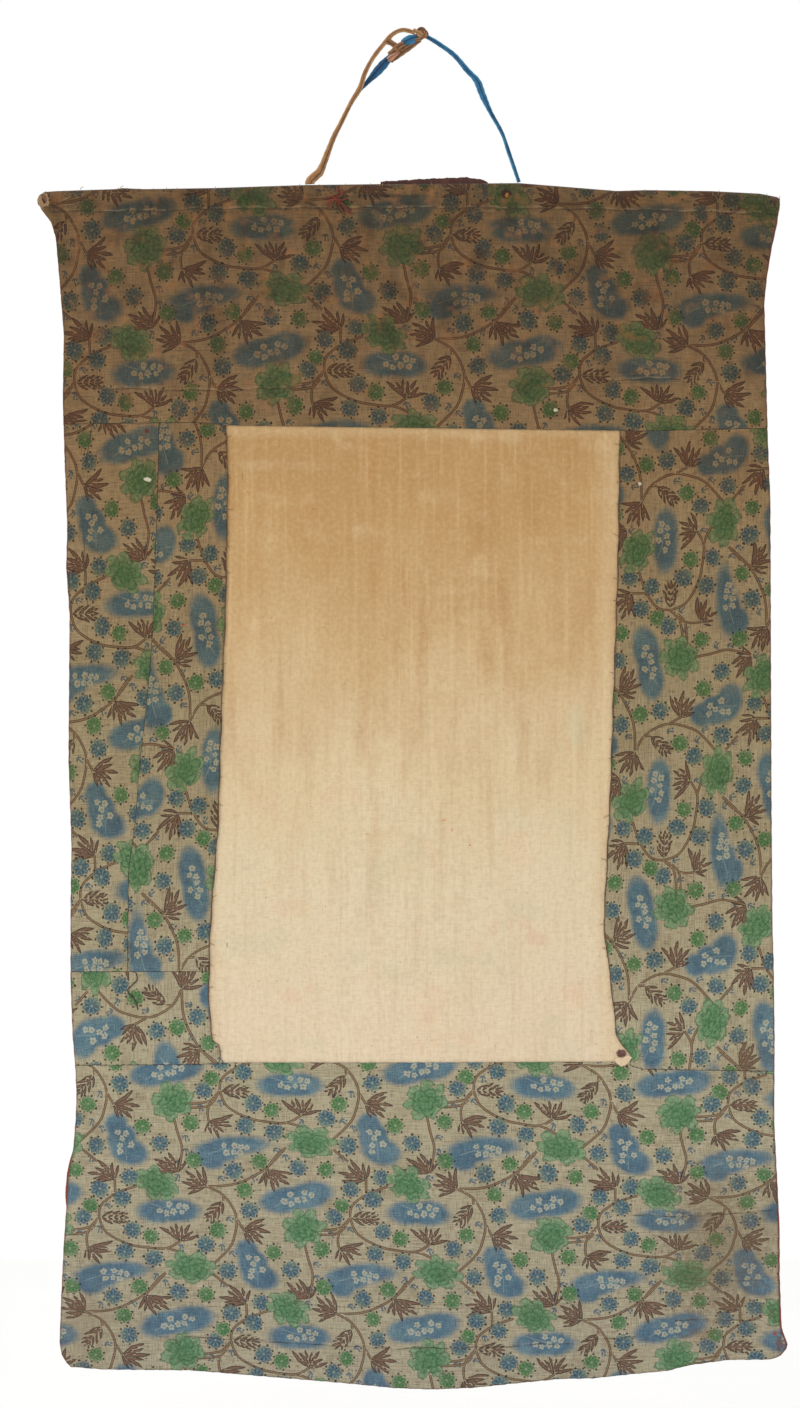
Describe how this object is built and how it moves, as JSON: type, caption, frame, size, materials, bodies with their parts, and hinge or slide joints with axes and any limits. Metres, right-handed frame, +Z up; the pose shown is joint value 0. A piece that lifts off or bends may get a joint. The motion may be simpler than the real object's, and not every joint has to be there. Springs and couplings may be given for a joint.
{
  "type": "thangka scroll painting",
  "caption": "Hanging scroll painting seen from its back: pieced printed cotton lining round the bare canvas, a batten in a sleeve at the top and a knotted cloth loop.",
  "frame": {"origin": "under the top of the hanging loop, where a peg holds it", "axes": "+Z up, +X to the right seen from the lining side, +Y from the lining side through to the painted side"},
  "size_m": [0.7439, 0.0138, 1.3614],
  "materials": {
    "printed_cotton": "matte plain weave, printed",
    "canvas": "matte sized canvas",
    "mount_silk": "satin red-brown silk",
    "batten_wood": "bare, whittled",
    "tan_cloth": "matte",
    "blue_cloth": "matte",
    "brown_cloth": "matte"
  },
  "bodies": {
    "root": {"lining_top": "printed_cotton", "lining_bottom": "printed_cotton", "lining_left_outer": "printed_cotton", "lining_left_inner": "printed_cotton", "lining_left_lower": "printed_cotton", "lining_right": "printed_cotton", "canvas": "canvas", "mount_top": "mount_silk", "mount_bottom": "mount_silk", "mount_left": "mount_silk", "mount_right": "mount_silk", "top_strip": "mount_silk", "batten": "batten_wood", "strap_tan": "tan_cloth", "strap_blue": "blue_cloth", "strap_tail": "blue_cloth", "loop_knot": "blue_cloth", "loop_wrap": "brown_cloth"}
  },
  "joints": []
}
